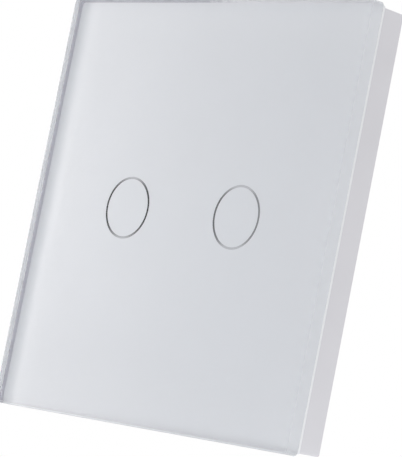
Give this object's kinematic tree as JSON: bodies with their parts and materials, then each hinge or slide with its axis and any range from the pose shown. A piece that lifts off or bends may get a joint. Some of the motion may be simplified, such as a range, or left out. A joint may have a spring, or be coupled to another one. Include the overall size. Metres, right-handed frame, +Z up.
{
  "type": "touch light switch",
  "caption": "Square glass-fronted capacitive touch light switch with ring-marked touch areas, a clip-on front panel and a shallow relay module for a wall box.",
  "frame": {"origin": "centre of the switch on the wall plane, the back face of its mounting plate", "axes": "+X right as seen from the room, +Y into the wall, +Z up; the glass faces -Y"},
  "size_m": [0.08, 0.026, 0.08],
  "materials": {
    "clear_glass": "clear glass with a polished front arris and a ground back seam",
    "white_print": "even screen print on the back of the glass",
    "ring_ink": "thin dark printed line",
    "tape": "white foam tape",
    "frame_plastic": "fine moulded satin",
    "spring_steel": "bright spring leaf",
    "plate_steel": "zinc-plated sheet",
    "cover_plastic": "fine moulded matt",
    "housing_plastic": "fine moulded matt",
    "screw_steel": "zinc-plated",
    "board": "solder mask over glass fibre",
    "chip_black": "moulded matt",
    "led": "clear resin in a white cup",
    "light_cap": "milky diffuser",
    "spring_wire": "gold-plated spring wire",
    "pin_brass": "plated",
    "relay_plastic": "smooth moulded",
    "coil_copper": "enamelled copper wire on a bobbin",
    "relay_iron": "nickel-plated soft iron",
    "film_yellow": "smooth moulded box",
    "can_sleeve": "shrink sleeve on an aluminium can",
    "transformer_iron": "ferrite core with taped winding",
    "varistor_coat": "dipped coating",
    "fuse_body": "cement-coated body",
    "clamp_steel": "plated steel"
  },
  "bodies": {
    "wall_part": {"mounting_plate": "plate_steel", "base_cover": "cover_plastic", "rear_housing": "housing_plastic", "housing_screws": "screw_steel", "touch_board": "board", "touch_chip": "chip_black", "chip_resistors": "chip_black", "led_left": "led", "led_right": "led", "light_cap_left": "light_cap", "light_cap_right": "light_cap", "touch_spring_left": "spring_wire", "touch_spring_right": "spring_wire", "header_block": "chip_black", "header_pins": "pin_brass", "power_board": "board", "relay_case_left": "relay_plastic", "relay_base_left": "chip_black", "relay_coil_left": "coil_copper", "relay_iron_left": "relay_iron", "relay_contact_left": "pin_brass", "relay_case_right": "relay_plastic", "relay_base_right": "chip_black", "relay_coil_right": "coil_copper", "relay_iron_right": "relay_iron", "relay_contact_right": "pin_brass", "film_capacitor": "film_yellow", "electrolytic_capacitor": "can_sleeve", "power_transformer": "transformer_iron", "varistor": "varistor_coat", "bridge_rectifier": "chip_black", "fuse_resistor": "fuse_body", "terminal_bars": "pin_brass"},
    "front_panel": {"glass_panel": "clear_glass", "back_print": "white_print", "ring_mark_left": "ring_ink", "ring_mark_right": "ring_ink", "panel_tape": "tape", "panel_frame": "frame_plastic", "panel_clips": "spring_steel"},
    "armature_left": {"relay_armature_left": "relay_iron"},
    "armature_right": {"relay_armature_right": "relay_iron"},
    "screw_1": {"terminal_screw_1": "screw_steel"},
    "clamp_1": {"wire_clamp_1": "clamp_steel"},
    "screw_2": {"terminal_screw_2": "screw_steel"},
    "clamp_2": {"wire_clamp_2": "clamp_steel"},
    "screw_3": {"terminal_screw_3": "screw_steel"},
    "clamp_3": {"wire_clamp_3": "clamp_steel"}
  },
  "joints": [
    {"name": "panel_pull", "type": "slide", "parent": "wall_part", "child": "front_panel", "axis": [0, -1, 0], "range_m": [0, 0.02], "deforming": ["panel_clips"]},
    {"name": "relay_left_close", "type": "hinge", "parent": "wall_part", "child": "armature_left", "pos_m": [-0.01405, 0.0123, -0.00459], "axis": [-1, 0, 0], "range_deg": [0, 3.5], "stiffness_Nm_per_rad": 0.002, "springref_deg": -2.86},
    {"name": "relay_right_close", "type": "hinge", "parent": "wall_part", "child": "armature_right", "pos_m": [-0.00305, 0.0123, -0.00459], "axis": [-1, 0, 0], "range_deg": [0, 3.5], "stiffness_Nm_per_rad": 0.002, "springref_deg": -2.86},
    {"name": "terminal_1_turn", "type": "hinge", "parent": "wall_part", "child": "screw_1", "pos_m": [-0.011, 0.0159, -0.01765], "axis": [0, -1, 0], "range_deg": [0, 2160]},
    {"name": "clamp_1_rise", "type": "slide", "parent": "wall_part", "child": "clamp_1", "axis": [0, 1, 0], "range_m": [0, 0.003]},
    {"name": "terminal_2_turn", "type": "hinge", "parent": "wall_part", "child": "screw_2", "pos_m": [0, 0.0159, -0.01765], "axis": [0, -1, 0], "range_deg": [0, 2160]},
    {"name": "clamp_2_rise", "type": "slide", "parent": "wall_part", "child": "clamp_2", "axis": [0, 1, 0], "range_m": [0, 0.003]},
    {"name": "terminal_3_turn", "type": "hinge", "parent": "wall_part", "child": "screw_3", "pos_m": [0.011, 0.0159, -0.01765], "axis": [0, -1, 0], "range_deg": [0, 2160]},
    {"name": "clamp_3_rise", "type": "slide", "parent": "wall_part", "child": "clamp_3", "axis": [0, 1, 0], "range_m": [0, 0.003]}
  ],
  "couplings": [
    {"joint": "terminal_1_turn", "follows": "clamp_1_rise", "rad_per_m": 12566},
    {"joint": "terminal_2_turn", "follows": "clamp_2_rise", "rad_per_m": 12566},
    {"joint": "terminal_3_turn", "follows": "clamp_3_rise", "rad_per_m": 12566}
  ]
}
